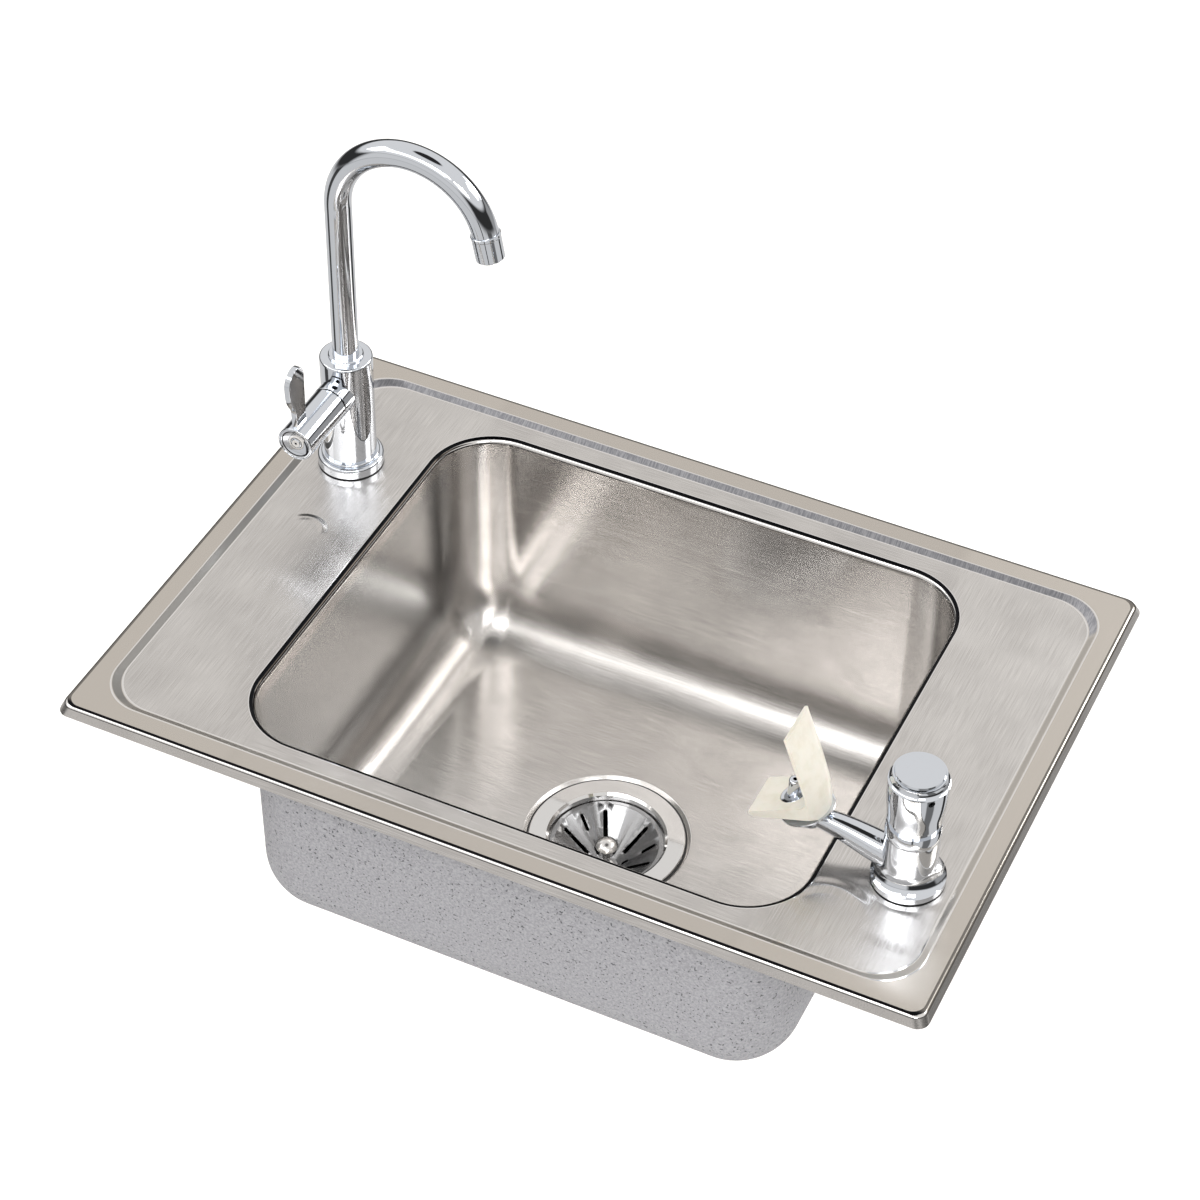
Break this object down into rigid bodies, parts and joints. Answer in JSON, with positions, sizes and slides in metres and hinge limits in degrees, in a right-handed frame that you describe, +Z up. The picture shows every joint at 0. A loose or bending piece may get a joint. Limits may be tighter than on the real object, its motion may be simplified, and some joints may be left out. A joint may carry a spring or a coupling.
{
  "type": "classroom sink",
  "caption": "Drop-in stainless sink for a classroom counter, with a swinging gooseneck faucet, a push-button drinking bubbler with a mouth guard, and a lift-out strainer basket.",
  "frame": {"origin": "middle of the rim's outline, on the counter's top face that the rim rests on", "axes": "+Z up; +X to the user's right along the rim's long side; +Y to the back of the counter"},
  "size_m": [0.635, 0.432, 0.6023],
  "materials": {
    "stainless": "satin brushed",
    "polished_steel": "fine polished",
    "chrome": "bright plated",
    "zinc": "zinc plated",
    "brass": "machined",
    "coat": "sprayed, speckled",
    "black_rubber": "matte",
    "ivory_rubber": "soft satin",
    "putty": "soft",
    "white_plastic": "moulded",
    "spring_steel": "drawn wire"
  },
  "bodies": {
    "sink": {"sink_body": "stainless", "sound_coat": "coat", "rim_seal": "putty", "mount_rails": "zinc", "drain_body": "polished_steel", "drain_gasket": "black_rubber", "friction_ring": "white_plastic", "drain_locknut": "zinc", "tailpiece_washer": "white_plastic", "tailpiece": "chrome", "coupling_nut": "chrome", "faucet_gasket": "black_rubber", "faucet_base": "chrome", "faucet_body": "chrome", "bonnet_screw": "zinc", "valve_cartridge": "brass", "spout_collar": "chrome", "faucet_shank": "brass", "faucet_washer": "zinc", "faucet_locknut": "brass", "bubbler_gasket": "black_rubber", "bubbler_body": "chrome", "bubbler_cartridge": "brass", "return_spring": "spring_steel", "mouth_guard": "ivory_rubber", "nozzle": "chrome", "bubbler_shank": "brass", "bubbler_washer": "zinc", "bubbler_locknut": "brass"},
    "swing_spout": {"spout": "chrome", "spout_ferrule": "brass", "spout_o_rings": "black_rubber", "aerator_housing": "chrome", "aerator_insert": "white_plastic"},
    "turn_handle": {"handle": "chrome", "handle_screw": "zinc", "handle_cap": "chrome", "cartridge_stem": "brass"},
    "push_button": {"push_cap": "chrome", "cap_screw": "zinc", "plunger": "brass"},
    "strainer": {"basket": "polished_steel", "basket_knob": "chrome", "basket_stopper": "black_rubber"}
  },
  "joints": [
    {"name": "spout_swivel", "type": "hinge", "parent": "sink", "child": "swing_spout", "pos_m": [-0.257, 0.097, 0.1], "axis": [0, 0, 1], "continuous": true},
    {"name": "handle_turn", "type": "hinge", "parent": "sink", "child": "turn_handle", "pos_m": [-0.257, 0.06, 0.0775], "axis": [0, -1, 0], "range_deg": [0, 90]},
    {"name": "button_push", "type": "slide", "parent": "sink", "child": "push_button", "axis": [0, 0, -1], "range_m": [0, 0.005], "stiffness_N_per_m": 1500, "springref_m": -0.01, "deforming": ["return_spring"]},
    {"name": "basket_lift", "type": "slide", "parent": "sink", "child": "strainer", "axis": [0, 0, 1], "range_m": [0, 0.24]}
  ]
}
